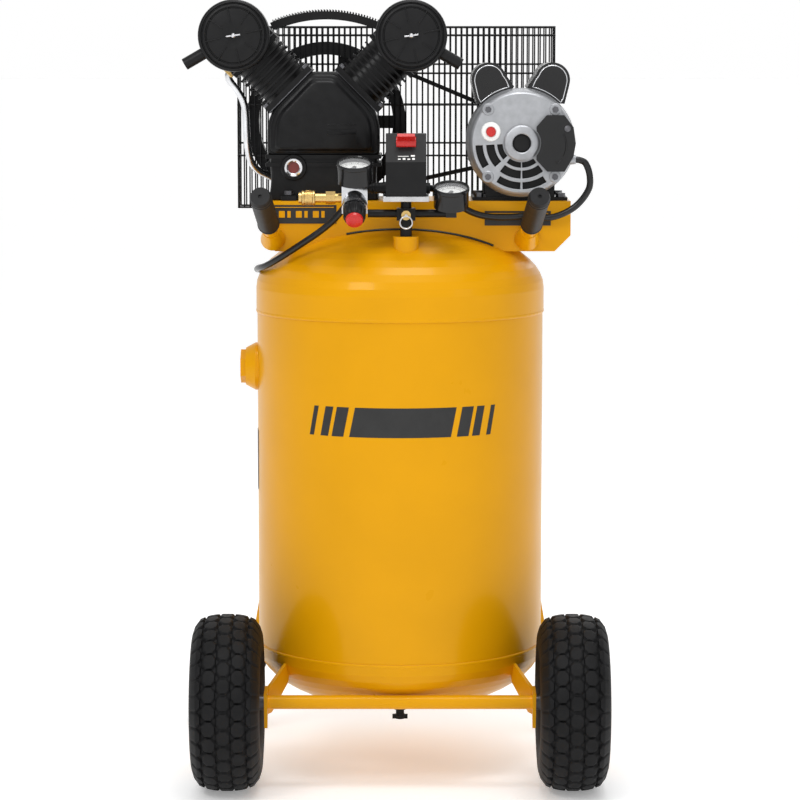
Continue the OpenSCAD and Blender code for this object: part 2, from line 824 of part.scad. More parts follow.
module pull_ring() {
    color(steel) at_axis() translate([switch_x, riser_y - 48, block_z + 1]) {
        to_front([0, 18, 0]) cylinder(r = 2.2, h = 20);
        to_front([0, 0, -10]) rotate_extrude() translate([9, 0]) circle(r = 1.2, $fn = 16);
    }
}

module regulator_body() {
    color(steel) at_axis() difference() {
        union() {
            translate([reg[0] - 19, reg[1] - 12, reg[2] - 20]) cube([38, 40, 42]);
            translate(reg) rotate([90 + reg_tilt, 0, 0]) cylinder(r = 19, h = 20);
        }
        translate(reg) rotate([90 + reg_tilt, 0, 0]) translate([0, 0, 14]) cylinder(r = 10, h = 8);
        translate([reg[0] - 20, reg[1] - 20, reg[2] - 24]) cube([40, 14, 10]);
    }
}

module regulator_knob() {
    color(plastic) at_axis() translate(reg) rotate([90 + reg_tilt, 0, 0]) translate([0, 0, 20.3]) {
        cylinder(r1 = 17, r2 = 15, h = 22);
        translate([0, 0, 22]) cylinder(r = 13, h = 7);
        translate([0, 0, -5.8]) cylinder(r = 8, h = 6);
    }
}

// A dial gauge at a point, leaning to the front, open above the dial
module gauge(p) {
    translate(p) rotate([gauge_lean, 0, 0]) difference() {
        cylinder(r = gauge_r, h = 30);
        translate([0, 0, 22]) cylinder(r = gauge_r - 2, h = 9);
        translate([0, 0, 20]) cylinder(r = 2, h = 9);
    }
}

module regulated_gauge() {
    color(plastic) at_axis() {
        gauge(reg_gauge_at);
        translate([reg[0], reg[1] + 3, reg[2] + 22]) cylinder(r = 7, h = 10);
    }
}

module tank_gauge() {
    color(plastic) at_axis() {
        gauge(tank_gauge_at);
        translate([tank_gauge_at[0] - 8, riser_y - 8, block_z - 4]) cube([16, 16, 20]);
    }
}

module needle(p) {
    color("red") at_axis() translate(p) rotate([gauge_lean, 0, 0]) rotate([0, 0, 225]) {
        translate([0, 0, 22.6]) cylinder(r = 3, h = 1.4);
        translate([-1, -1, 22.6]) cube([19, 2, 1]);
        translate([0, 0, 20.6]) cylinder(r = 1.9, h = 3);
    }
}

module needle_regulated() needle(reg_gauge_at);
module needle_tank() needle(tank_gauge_at);

module coupler_body() {
    color("goldenrod") at_axis() to_right([-150, reg[1] + 8, coupler_z]) difference() {
        union() {
            cylinder(r = 7, h = 64);
            translate([0, 0, 40]) cylinder(r = 9.5, h = 14, $fn = 6);
            cylinder(r = 8.4, h = 4);
        }
        translate([0, 0, -1]) cylinder(r = 4, h = 36);
    }
}

module coupler_sleeve() {
    color("goldenrod") at_axis() to_right([-145.6, reg[1] + 8, coupler_z]) difference() {
        union() {
            cylinder(r = 10.5, h = 20);
            cylinder(r = 11.5, h = 4);
            translate([0, 0, 16]) cylinder(r = 11.5, h = 4);
        }
        translate([0, 0, -1]) cylinder(r = 7.05, h = 30);
    }
}

// ---------- cables ----------

module motor_lead() {
    color(plastic) at_axis() swept(smooth(lead_route, 3), 5);
}

module power_cord() {
    color(plastic) at_axis() {
        swept(smooth(cord_route, 3), cord_d / 2, 8);
        swept(cord_tail, cord_d / 2, 8);
    }
}

module cord_coil() {
    color(plastic) at_axis() translate([coil_at[0], coil_at[1], 0]) rotate_extrude()
        translate([coil_r - cord_d / 2, 0]) square([cord_d, 2 * cord_d]);
}

// The plug points away from the end of the cord's tail
module cord_plug() {
    color(plastic) at_axis() translate(cord_tail[4]) rotate([0, 0, 135]) rotate([0, 90, 0]) {
        cylinder(r1 = cord_d / 2 + 0.5, r2 = 8, h = 14);
        translate([0, 0, 14]) cylinder(r = 8, h = 22);
        for (y = [-4, 4]) translate([-3, y - 0.8, 36]) cube([6, 1.6, 16]);
        translate([-5, 0, 36]) cylinder(r = 2, h = 17);
    }
}

tank_shell();
upper_head();
lower_head();
inspection_plug();
drain_body();
drain_knob();
axle_tube();
axle_rod();
axle_brackets();
rear_legs();
rubber_feet();
tyre_left();
rim_left();
tyre_right();
rim_right();
deck();
grips();
crankcase();
crankcase_cover();
sight_glass();
cylinder_left();
cylinder_right();
head_left();
head_right();
filter_left();
filter_right();
discharge_tube();
crankshaft();
flywheel();
piston_left();
piston_right();
v_belt();
guard_front();
guard_rear();
guard_sides();
motor_shell();
motor_end_bell();
capacitor_covers();
terminal_cover();
motor_cradle();
reset_button();
motor_rotor();
motor_pulley();
fasteners();
switch_body();
switch_lever();
manifold();
safety_valve();
pull_ring();
regulator_body();
regulator_knob();
regulated_gauge();
tank_gauge();
needle_regulated();
needle_tank();
coupler_body();
coupler_sleeve();
motor_lead();
power_cord();
cord_coil();
cord_plug();
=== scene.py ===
import json
import math
import random
import bmesh
import bpy
from mathutils import Matrix, Vector


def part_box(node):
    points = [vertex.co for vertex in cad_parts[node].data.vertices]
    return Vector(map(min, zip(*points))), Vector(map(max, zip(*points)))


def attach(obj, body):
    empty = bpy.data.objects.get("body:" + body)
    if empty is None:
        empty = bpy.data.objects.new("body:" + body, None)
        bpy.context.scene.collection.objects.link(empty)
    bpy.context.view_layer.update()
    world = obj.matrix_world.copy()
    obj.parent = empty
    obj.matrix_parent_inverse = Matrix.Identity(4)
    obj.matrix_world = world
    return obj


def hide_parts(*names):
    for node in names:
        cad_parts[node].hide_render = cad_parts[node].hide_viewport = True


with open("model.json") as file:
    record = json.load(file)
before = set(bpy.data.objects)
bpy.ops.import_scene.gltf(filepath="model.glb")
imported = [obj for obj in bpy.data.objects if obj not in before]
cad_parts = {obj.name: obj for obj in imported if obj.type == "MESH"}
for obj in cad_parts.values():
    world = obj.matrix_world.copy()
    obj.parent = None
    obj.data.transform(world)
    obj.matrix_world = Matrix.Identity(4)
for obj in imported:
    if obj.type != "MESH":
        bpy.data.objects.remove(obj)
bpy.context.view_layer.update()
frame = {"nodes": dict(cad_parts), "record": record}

random.seed(7)
NODES = frame["nodes"]
shell_low, shell_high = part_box("tank_shell")
AXIS_X = (shell_low.x + shell_high.x) / 2
AXIS_Y = (shell_low.y + shell_high.y) / 2
MM = 0.001

# Sizes shared with the CAD source, in millimetres from the tank's axis
TANK_R, SEAM_LOW, SEAM_HIGH = 220, 186, 706
DECK_Z, DECK_FRONT = 875, -80
WHEEL_X, WHEEL_Y, WHEEL_Z = 258, -208, 132
CRANK = (-116, 0, 990)
MOTOR = (182, 0, 963)
BELL_FRONT = -113
FILTER_OUT = 132.94  # from the crank to an air filter's middle, along X and along Z
ARCH_Z, ARCH_START, ARCH_END = 945, 66.5, 113.5  # the guard's arch: its middle and its two angles
GUARD_FRONT_Y, GUARD_REAR_Y = 88, 150
CAMERA_AT, CAMERA_PITCH = (0, -4500, 1090), 6.68


def T(x, y, z):
    """A point of the row frame in metres, from millimetres on the tank's axis."""
    return Vector((AXIS_X + x * MM, AXIS_Y + y * MM, z * MM))


def place(origin, x_axis=(1, 0, 0), z_axis=(0, 0, 1)):
    """A matrix from local millimetres to the row frame."""
    z = Vector(z_axis).normalized()
    x = Vector(x_axis)
    x = (x - z * x.dot(z)).normalized()
    y = z.cross(x)
    turn = Matrix((x, y, z)).transposed().to_4x4()
    return Matrix.Translation(T(*origin)) @ turn @ Matrix.Scale(MM, 4)


def to_front(origin):
    """Local Z points out of the front of the machine, local Y up."""
    return place(origin, (1, 0, 0), (0, -1, 0))


HERE = place((0, 0, 0))

# ---------- camera and light ----------

camera_data = bpy.data.cameras.new("camera")
camera_data.lens = 131.5
camera_data.sensor_width = 36
camera_data.clip_end = 400
camera = bpy.data.objects.new("camera", camera_data)
camera.location = T(*CAMERA_AT)
camera.rotation_euler = (math.radians(90 - CAMERA_PITCH), 0, 0)
bpy.context.scene.collection.objects.link(camera)
bpy.context.scene.camera = camera
bpy.context.scene.view_settings.view_transform = "Standard"
bpy.context.scene.view_settings.look = "None"


def area_light(name, at, target, size, power, size_y=None):
    data = bpy.data.lights.new(name, "AREA")
    data.energy = power
    data.shape = "RECTANGLE"
    data.size = size
    data.size_y = size_y or size
    lamp = bpy.data.objects.new(name, data)
    lamp.location = at
    lamp.rotation_euler = (Vector(target) - Vector(at)).to_track_quat("-Z", "Y").to_euler()
    bpy.context.scene.collection.objects.link(lamp)


area_light("key", (-1.6, -2.4, 2.8), (0, 0, 0.8), 1.1, 24, 0.8)
area_light("fill", (3.2, -2.6, 1.8), (0, 0, 0.6), 1.2, 7, 1.8)
area_light("top", (0.2, -0.7, 3.2), (0, 0, 0.8), 1.3, 22, 0.8)
area_light("back", (0.8, 3.6, 2.6), (0, 0, 0.7), 2.4, 20)
world = bpy.data.worlds.new("studio")
bpy.context.scene.world = world
world.use_nodes = True
sky = world.node_tree
sky.nodes["Background"].inputs["Color"].default_value = (1, 1, 1, 1)
# the world is dimmer to the left and right
sky_nodes = {kind: sky.nodes.new("ShaderNode" + kind)
             for kind in ("TexCoord", "SeparateXYZ", "Math", "MapRange")}
sky_nodes["Math"].operation = "ABSOLUTE"
sky_nodes["MapRange"].inputs["From Min"].default_value = 0.22
sky_nodes["MapRange"].inputs["From Max"].default_value = 0.95
sky_nodes["MapRange"].inputs["To Min"].default_value = 1.0
sky_nodes["MapRange"].inputs["To Max"].default_value = 0.3
sky.links.new(sky_nodes["TexCoord"].outputs["Generated"], sky_nodes["SeparateXYZ"].inputs["Vector"])
sky.links.new(sky_nodes["SeparateXYZ"].outputs["X"], sky_nodes["Math"].inputs[0])
sky.links.new(sky_nodes["Math"].outputs["Value"], sky_nodes["MapRange"].inputs["Value"])
sky.links.new(sky_nodes["MapRange"].outputs["Result"], sky.nodes["Background"].inputs["Strength"])


# ---------- materials ----------

def material(name, color, rough, metal=0.0, vary=0.1, scale=40, bump=0.1, grain=500, depth=0.0004,
             coat=0.0, rough_vary=0.06, alpha=1.0, specular=0.5, glow=0.0, tint=(1, 1, 1)):
    """A procedural surface: colour and roughness vary softly, and a fine grain bumps it."""
    m = bpy.data.materials.new(name)
    m.use_nodes = True
    tree = m.node_tree
    shader = tree.nodes["Principled BSDF"]
    link = tree.links.new
    coords = tree.nodes.new("ShaderNodeTexCoord")

    def noise(size, detail):
        n = tree.nodes.new("ShaderNodeTexNoise")
        n.inputs["Scale"].default_value = size
        n.inputs["Detail"].default_value = detail
        link(coords.outputs["Object"], n.inputs["Vector"])
        return n.outputs["Fac"]

    ramp = tree.nodes.new("ShaderNodeValToRGB")
    low = [max(0, c * (1 - vary)) for c in color] + [1]
    high = [min(1, c * (1 + vary)) for c in color] + [1]
    ramp.color_ramp.elements[0].position = 0.32
    ramp.color_ramp.elements[0].color = low
    ramp.color_ramp.elements[1].position = 0.68
    ramp.color_ramp.elements[1].color = high
    link(noise(scale, 5), ramp.inputs["Fac"])
    link(ramp.outputs["Color"], shader.inputs["Base Color"])
    spread = tree.nodes.new("ShaderNodeMapRange")
    spread.inputs["To Min"].default_value = max(0.02, rough - rough_vary)
    spread.inputs["To Max"].default_value = min(1, rough + rough_vary)
    link(noise(scale * 2.3, 4), spread.inputs["Value"])
    link(spread.outputs["Result"], shader.inputs["Roughness"])
    bumps = tree.nodes.new("ShaderNodeBump")
    bumps.inputs["Strength"].default_value = bump
    bumps.inputs["Distance"].default_value = depth
    link(noise(grain, 3), bumps.inputs["Height"])
    link(bumps.outputs["Normal"], shader.inputs["Normal"])
    shader.inputs["Metallic"].default_value = metal
    shader.inputs["Coat Weight"].default_value = coat
    shader.inputs["Coat Roughness"].default_value = 0.08
    shader.inputs["Alpha"].default_value = alpha
    shader.inputs["Specular IOR Level"].default_value = specular
    shader.inputs["Specular Tint"].default_value = (*tint, 1)
    shader.inputs["Coat Tint"].default_value = (*tint, 1)
    shader.inputs["Emission Color"].default_value = (1, 1, 1, 1)
    shader.inputs["Emission Strength"].default_value = glow
    return m


YELLOW = material("yellow_paint", (0.72, 0.335, 0.0015), 0.3, vary=0.035, scale=7, bump=0.18,
                  grain=230, depth=0.0003, coat=0.1, specular=0.3, tint=(1, 0.8, 0.3))
IRON = material("black_iron", (0.007, 0.007, 0.0075), 0.34, vary=0.25, scale=60, bump=0.35, grain=750,
                depth=0.0004, coat=0.04, specular=0.18)
METAL = material("black_metal", (0.006, 0.006, 0.0065), 0.38, vary=0.2, scale=50, bump=0.12, grain=600,
                 specular=0.25)
WIRE = material("wire_coating", (0.008, 0.008, 0.009), 0.34, vary=0.2, scale=90, bump=0.1, grain=900,
                depth=0.0002, specular=0.25)
STEEL = material("steel", (0.62, 0.62, 0.63), 0.28, 1.0, vary=0.1, scale=80, bump=0.12, grain=900,
                 depth=0.0002)
CHROME = material("chrome", (0.8, 0.8, 0.82), 0.1, 1.0, vary=0.04, scale=60, bump=0.03, grain=300,
                  rough_vary=0.03)
CAST = material("cast_aluminium", (0.42, 0.43, 0.45), 0.42, 0.75, vary=0.08, scale=90, bump=0.3,
                grain=1100, depth=0.0003)
TUBE = material("aluminium_tube", (0.72, 0.73, 0.75), 0.24, 1.0, vary=0.08, scale=60, bump=0.12,
                grain=300, depth=0.0004)
RUBBER = material("grip_rubber", (0.009, 0.009, 0.0095), 0.52, vary=0.2, scale=70, bump=0.25, grain=1400,
                  depth=0.0002, specular=0.3)
TYRE = material("tyre_rubber", (0.007, 0.007, 0.0075), 0.6, vary=0.3, scale=40, bump=0.35, grain=900,
                depth=0.0004, specular=0.18)
PLASTIC = material("black_plastic", (0.0075, 0.0075, 0.008), 0.42, vary=0.14, scale=50, bump=0.3,
                   grain=1300, depth=0.0002, specular=0.22)
GLOSS = material("gloss_black", (0.008, 0.008, 0.0085), 0.2, vary=0.12, scale=40, bump=0.05, grain=600,
                 depth=0.0002, specular=0.4)
CABLE = material("cable_jacket", (0.009, 0.009, 0.0095), 0.24, vary=0.15, scale=50, bump=0.12, grain=500,
                 depth=0.0003, specular=0.4)
RED = material("red_plastic", (0.55, 0.015, 0.012), 0.28, vary=0.1, scale=60, bump=0.08, grain=900)
BRASS = material("brass", (0.68, 0.47, 0.18), 0.26, 1.0, vary=0.12, scale=120, bump=0.15, grain=800,
                 depth=0.0002)
WHITE = material("dial_print", (0.86, 0.86, 0.84), 0.4, vary=0.02, scale=50, bump=0.05, grain=600)
INK = material("black_print", (0.012, 0.012, 0.012), 0.45, vary=0.2, scale=60, bump=0.05, grain=900)
DARK_RED = material("oil_sight", (0.16, 0.02, 0.015), 0.12, vary=0.2, scale=80, bump=0.05, grain=300)
GLASS = material("gauge_glass", (0.95, 0.96, 0.97), 0.04, vary=0.01, scale=30, bump=0.01, grain=100,
                 rough_vary=0.01, alpha=0.12)
DARK_STEEL = material("dark_steel", (0.13, 0.13, 0.14), 0.36, 0.85, vary=0.15, scale=90, bump=0.15,
                      grain=900)
FLOOR = material("studio_floor", (0.95, 0.95, 0.95), 0.7, vary=0.012, scale=3, bump=0.03, grain=60,
                 glow=0.25)

SLOT_MATERIAL = {
    "yellow_paint": YELLOW, "steel": STEEL, "rubber": RUBBER, "tyre": TYRE, "black_metal": METAL,
    "black_iron": IRON, "aluminium": CAST, "black_plastic": PLASTIC, "red_plastic": RED,
    "gauge_case": GLOSS, "brass": BRASS, "cable": CABLE,
}
NODE_MATERIAL = {
    "discharge_tube": TUBE, "crankcase_cover": IRON, "capacitor_covers": GLOSS, "terminal_cover": GLOSS,
    "regulator_body": TUBE, "v_belt": RUBBER, "fasteners": DARK_STEEL, "axle_rod": DARK_STEEL,
    "needle_regulated": INK, "needle_tank": INK, "rubber_feet": RUBBER,
}


# ---------- shapes, as (points, faces) in local millimetres ----------

def block(x0, x1, y0, y1, z0, z1):
    points = [(x, y, z) for z in (z0, z1) for y in (y0, y1) for x in (x0, x1)]
    return points, [(0, 2, 3, 1), (4, 5, 7, 6), (0, 1, 5, 4), (2, 6, 7, 3), (0, 4, 6, 2), (1, 3, 7, 5)]


def side_faces(levels, n, loop=False):
    """The faces between rings of n points; with loop, the last ring joins the first."""
    faces = []
    for level in range(levels if loop else levels - 1):
        for k in range(n):
            a, b = level * n + k, level * n + (k + 1) % n
            faces.append((a, b, (b + n) % (levels * n), (a + n) % (levels * n)))
    return faces


def end_faces(levels, n):
    return [tuple(reversed(range(n))), tuple(range((levels - 1) * n, levels * n))]


def turned_faces(around, n, closed):
    """The faces of a profile of n points set down around times in a circle."""
    faces = []
    for k in range(around):
        m = (k + 1) % around
        for i in range(n if closed else n - 1):
            j = (i + 1) % n
            faces.append((k * n + i, m * n + i, m * n + j, k * n + j))
    return faces


def prism(outline, z0, z1):
    points = [(x, y, z) for z in (z0, z1) for x, y in outline]
    return points, end_faces(2, len(outline)) + side_faces(2, len(outline))


def lathe(profile, around=64, closed=False):
    """A profile of (radius, height) turned about Z. Points on the axis are merged later."""
    points = []
    for k in range(around):
        a = 2 * math.pi * k / around
        points += [(r * math.cos(a), r * math.sin(a), h) for r, h in profile]
    return points, turned_faces(around, len(profile), closed)


def tube(path, radius, sides=16, loop=False, taper=None):
    """A round tube along a path, with its frame carried from ring to ring."""
    path = [Vector(p) for p in path]
    count = len(path)
    points = []
    normal = None
    for i, p in enumerate(path):
        before = path[i - 1] if i or loop else path[0]
        after = path[(i + 1) % count] if i < count - 1 or loop else path[-1]
        run = (after - before).normalized()
        if normal is None:
            ref = Vector((0, 0, 1)) if abs(run.z) < 0.9 else Vector((1, 0, 0))
            normal = run.cross(ref).normalized()
        normal = (normal - run * normal.dot(run)).normalized()
        other = run.cross(normal)
        r = radius if taper is None else radius * taper(i / (count - 1))
        for k in range(sides):
            a = 2 * math.pi * k / sides
            points.append(tuple(p + r * (math.cos(a) * normal + math.sin(a) * other)))
    return points, side_faces(count, sides, loop) + ([] if loop else end_faces(count, sides))


def rod(a, b, radius, sides=8):
    return tube([a, b], radius, sides)


def hexagon(radius, z0, z1):
    """A hexagonal nut or bolt head with a chamfered top."""
    chamfer = radius * 0.12
    ring = [(math.cos(math.radians(60 * k)), math.sin(math.radians(60 * k))) for k in range(6)]
    points = []
    for r, z in ((radius, z0), (radius, z1 - chamfer), (radius - chamfer, z1)):
        points += [(r * c, r * s, z) for c, s in ring]
    return points, end_faces(3, 6) + side_faces(3, 6)


def polar(radius, degrees):
    return radius * math.cos(math.radians(degrees)), radius * math.sin(math.radians(degrees))


def moved(shape, matrix):
    return [tuple(matrix @ Vector(p)) for p in shape[0]], shape[1]


def shift(shape, x=0, y=0, z=0, turn=0):
    return moved(shape, Matrix.Translation((x, y, z)) @ Matrix.Rotation(math.radians(turn), 4, "Z"))


def smooth_path(points, steps):
    """A smooth curve through the points, as the CAD source draws its cords."""
    out = []
    for i in range(len(points) - 1):
        a, b = Vector(points[max(i - 1, 0)]), Vector(points[i])
        c, d = Vector(points[i + 1]), Vector(points[min(i + 2, len(points) - 1)])
        for k in range(steps):
            s = k / steps
            cubic = (2 * a - 5 * b + 4 * c - d) + s * (3 * (b - c) + d - a)
            out.append(b + 0.5 * s * ((c - a) + s * cubic))
    out.append(Vector(points[-1]))
    return out


def shade(mesh, angle):
    mesh.polygons.foreach_set("use_smooth", [True] * len(mesh.polygons))
    mesh.set_sharp_from_angle(angle=math.radians(angle))


def piece(name, shapes, mat, body="frame", at=HERE, bevel=0.0, angle=35, stands_for=()):
    """One object from shapes in local millimetres, riding on a body."""
    bm = bmesh.new()
    for points, faces in shapes:
        verts = [bm.verts.new(at @ Vector(p)) for p in points]
        for f in faces:
            bm.faces.new([verts[i] for i in f])
    bmesh.ops.remove_doubles(bm, verts=bm.verts, dist=2e-6)
    bmesh.ops.dissolve_degenerate(bm, dist=1e-6, edges=bm.edges)
    bmesh.ops.recalc_face_normals(bm, faces=bm.faces)
    mesh = bpy.data.meshes.new(name)
    bm.to_mesh(mesh)
    bm.free()
    shade(mesh, angle)
    mesh.materials.append(mat)
    obj = bpy.data.objects.new(name, mesh)
    bpy.context.scene.collection.objects.link(obj)
    if bevel:
        add_bevel(obj, bevel)
    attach(obj, body)
    if stands_for:
        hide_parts(*stands_for)
    return obj


def add_bevel(obj, width):
    mod = obj.modifiers.new("edges", "BEVEL")
    mod.width = width * MM
    mod.segments = 2
    mod.limit_method = "ANGLE"
    mod.angle_limit = math.radians(38)
    mod.harden_normals = True


# ---------- cords ----------

CORD_ROUTE = [
    (-49, -130, 897), (-62, -129, 892), (-80, -127, 872), (-98, -124, 850), (-122, -121, 830),
    (-150, -115, 811), (-180, -101, 791), (-203, -75, 777), (-216, -40, 771), (-220, 0, 766),
    (-218, 46, 762), (-207, 97, 747), (-186, 134, 720), (-168, 155, 676), (-163, 160, 610),
    (-163, 160, 520), (-163, 160, 430), (-164, 161, 340), (-172, 168, 260), (-194, 182, 180),
    (-222, 196, 110), (-242, 207, 56), (-250, 220, 20), (-244, 240, 6), (-244, 260, 5),
]
CORD_TAIL = [(-244, 262, 15), (-244, 280, 13), (-250, 298, 9), (-262, 314, 8), (-274, 326, 8)]
COIL_X, COIL_Y, COIL_R, CORD_D = -294, 260, 50, 10


def coil_points():
    """Two turns, the second on top of the first."""
    out = []
    for k in range(1, 72):
        a = 2 * math.pi * k / 36
        lift = min(1, max(0, (k - 29) / 7))
        out.append(Vector((COIL_X + COIL_R * math.cos(a), COIL_Y + COIL_R * math.sin(a),
                           5 + 10.2 * lift * lift * (3 - 2 * lift))))
    return out


cord_path = smooth_path(CORD_ROUTE, 4) + coil_points() + smooth_path(CORD_TAIL, 3)
cord_piece = piece("power_cord_run", [tube(cord_path, CORD_D / 2, 16)], CABLE, angle=60,
                   stands_for=("power_cord", "cord_coil"))

LEAD_ROUTE = [
    (45, -140, 897), (62, -132, 892), (86, -112, 872), (116, -96, 856), (150, -92, 851),
    (192, -92, 853), (228, -93, 851), (262, -96, 866), (283, -99, 892), (285, -101, 914),
    (279, -100, 932), (271, -99, 937), (264, -99, 938),
]
piece("motor_lead_run", [tube(smooth_path(LEAD_ROUTE, 6), 5, 16)], CABLE, angle=60,
      stands_for=("motor_lead",))

# ---------- CAD nodes: finish, smoothing and broken edges ----------

BEVELS = {
    "crankcase": 2.2, "crankcase_cover": 2.4, "cylinder_left": 0.7, "cylinder_right": 0.7,
    "head_left": 0.9, "head_right": 0.9, "deck": 0.9, "axle_brackets": 0.8, "rear_legs": 0.8,
    "flywheel": 1.2, "motor_end_bell": 0.8, "capacitor_covers": 5, "terminal_cover": 2.2,
    "motor_cradle": 0.9, "switch_body": 2.6, "switch_lever": 1.2, "manifold": 1.0,
    "regulator_body": 1.6, "regulated_gauge": 0.8, "tank_gauge": 0.8, "fasteners": 0.6,
    "inspection_plug": 1.2, "rim_left": 0.8, "rim_right": 0.8, "drain_knob": 0.6, "grips": 1.2,
    "motor_pulley": 0.6, "safety_valve": 0.4, "coupler_body": 0.5, "cord_plug": 0.9, "reset_button": 0.8,
}
for entry in frame["record"]["subparts"]:
    node = entry["node"]
    cad = NODES[node]
    look = NODE_MATERIAL.get(node, SLOT_MATERIAL[entry["material_slot"]])
    cad.data.materials.clear()
    cad.data.materials.append(look)
    shade(cad.data, 32)
    if node in BEVELS:
        add_bevel(cad, BEVELS[node])

# ---------- tank: welds, lap seams and bands ----------

def weld_ring(radius, z, width, phase):
    """A round weld bead with a regular ripple and a little unevenness."""
    rings, sides = 360, 10
    points = []
    for k in range(rings):
        a = 2 * math.pi * k / rings
        ripple = 1 + 0.12 * math.sin(90 * a + phase) + 0.05 * random.uniform(-1, 1)
        for s in range(sides):
            b = 2 * math.pi * s / sides
            r = radius + 0.45 * width * ripple * math.cos(b)
            points.append((r * math.cos(a), r * math.sin(a), z + width * math.sin(b)))
    return points, side_faces(rings, sides, loop=True)


piece("tank_welds", [weld_ring(TANK_R + 0.6, SEAM_HIGH - 1.5, 3, 0),
                     weld_ring(TANK_R + 0.6, SEAM_LOW + 1.5, 3, 1)],
      YELLOW, angle=70)


def curved_patch(angle0, angle1, z0, z1, slant=0.0, radius=TANK_R + 0.35, steps=24):
    """A thin patch on the shell, used for print and for a painted shadow strip. Angles are from the front, in
    degrees.
    """
    points = []
    for k in range(steps + 1):
        for z, r in ((z0, radius), (z1, radius), (z1, radius - 0.6), (z0, radius - 0.6)):
            tilt = slant * (z - z0) / max(1e-6, z1 - z0)
            a = math.radians(angle0 + (angle1 - angle0) * k / steps + tilt)
            points.append((r * math.sin(a), -r * math.cos(a), z))
    return points, side_faces(steps + 1, 4) + end_faces(steps + 1, 4)


BAND_LOW, BAND_HIGH = 532, 576
bands = [curved_patch(-20, 20, BAND_LOW, BAND_HIGH, slant=2.4, steps=30)]
for k, width in enumerate((5.0, 3.4, 2.0)):
    start = 22.5 + 6.6 * k
    bands.append(curved_patch(start, start + width, BAND_LOW, BAND_HIGH, slant=2.4, steps=6))
    bands.append(curved_patch(-start - width, -start, BAND_LOW, BAND_HIGH, slant=2.4, steps=6))
piece("tank_band_print", bands, INK, angle=50)
# a thin strip at the tank's left edge, taken for a plate seen edge-on; its dark steel colour is painted
# shadow
piece("tank_plate_painted_shadow", [curved_patch(-102, -82, 428, 520, radius=TANK_R + 0.8, steps=10)], DARK_STEEL,
      angle=50)
DECK_LABELS = ((-193, -96, 841, 869), (128, 228, 838, 860))
piece("deck_label_plates", [block(x0, x1, -81, -79.8, z0, z1) for x0, x1, z0, z1 in DECK_LABELS], INK,
      bevel=0.3)
marks = []
for x0, x1, z0, z1 in DECK_LABELS:
    for k in range(6):
        x = x0 + 10 + k * (x1 - x0 - 20) / 6
        marks.append(block(x, x + 9 - (k % 2) * 4, -81.4, -80.8, z0 + 9, z1 - 9))
    marks.append(block(x0 + 4, x1 - 4, -81.4, -80.8, z1 - 4, z1 - 3))
piece("deck_label_marks", marks, YELLOW, bevel=0.1)

# ---------- wheels ----------

TYRE_R, TREAD_DEPTH, TREAD_START = 132, 4.2, 108  # the tread fades in from TREAD_START outward
TREAD_ROWS = (-43, -21.5, 0, 21.5, 43)


def smoothstep(a, b, x):
    t = min(1, max(0, (x - a) / (b - a)))
    return t * t * (3 - 2 * t)


def lug_height(s, v, pitch):
    """1 on a tread lug, 0 in a groove; s runs round the tyre, v across it."""
    best = 9.0
    for row, centre in enumerate(TREAD_ROWS):
        offset = (row % 2) * pitch / 2
        ds = abs((s + offset + pitch / 2) % pitch - pitch / 2)
        dv = abs(v - centre)
        q = max(ds / 11.6, dv / 9.5, (ds / 11.6 + dv / 9.5) / 1.5)
        best = min(best, q)
    return 1 - smoothstep(0.93, 1.1, best)


def tyre_shape():
    half = [(52, 34), (60, 43), (78, 51), (92, 52), (104, 51.2), (114, 48), (122, 42)]
    crown = [(TYRE_R - 8.5 * (abs(v) / 42) ** 2.6, v) for v in [42 - 84 * k / 54 for k in range(1, 54)]]
    profile = half + crown + [(r, -v) for r, v in reversed(half)]
    around = 416
    pitch = 2 * math.pi * TYRE_R / 32
    points = []
    for k in range(around):
        a = 2 * math.pi * k / around
        for r, v in profile:
            if r > TREAD_START:
                groove = 1 - lug_height(a * TYRE_R, v, pitch)
                r = r - TREAD_DEPTH * groove * smoothstep(TREAD_START, 118, r)
            points.append((v, r * math.cos(a), r * math.sin(a)))
    return points, turned_faces(around, len(profile), True)


for side, word in ((-1, "left"), (1, "right")):
    centre = (side * WHEEL_X, WHEEL_Y, WHEEL_Z)
    piece("tread_tyre_" + word, [tyre_shape()], TYRE, body="wheel_" + word,
          at=place(centre), angle=50, stands_for=("tyre_" + word,))
    outward = place(centre, (0, 1, 0), (side, 0, 0))
    bolts = [shift(hexagon(4, 3, 11), *polar(34, 45 + 90 * k)) for k in range(4)]
    piece("rim_bolts_" + word, bolts, STEEL, body="wheel_" + word, at=outward, bevel=0.3)
    flange = lathe([(50, 30), (53, 31), (55, 34.5), (54, 37), (51, 37.5), (49, 35)], 96, True)
    piece("rim_flange_" + word, [flange], METAL, body="wheel_" + word, at=outward,
          angle=50)
    valve = [rod((40, 0, 4), (43, 0, 27), 2.6, 12), rod((43, 0, 27), (43.6, 0, 34), 3.2, 12)]
    piece("tyre_valve_" + word, valve, RUBBER, body="wheel_" + word, at=outward, bevel=0.3)

# ---------- pump ----------

GASKET_BORE, CASTING_BORE = 33, 31.5
FILTER_Y = -62


def cylinder_frame(side):
    """Local Z runs up a cylinder's axis, from the crank."""
    z = Vector((side, 0, 1)).normalized()
    at = (CRANK[0], side * 12, CRANK[2])
    return place(at, (1, 0, -side), z)


def gasket(half, z0, z1):
    """A square gasket with a square opening round the bore."""
    k = math.sqrt(2)
    section = [(GASKET_BORE * k, z0), (half * k, z0), (half * k, z1), (GASKET_BORE * k, z1)]
    return shift(lathe(section, 4, True), turn=45)


def filter_rib():
    """A thin radial rib that follows the slope of the filter's face."""
    points = [(r, y, z) for z0, z1 in ((34, 34), (41.7, 39.6)) for r, y, z in
              ((19, -0.9, z0), (44, -0.9, z1), (44, 0.9, z1), (19, 0.9, z0))]
    return points, [(0, 3, 2, 1), (4, 5, 6, 7), (0, 1, 5, 4), (1, 2, 6, 5), (2, 3, 7, 6), (3, 0, 4, 7)]


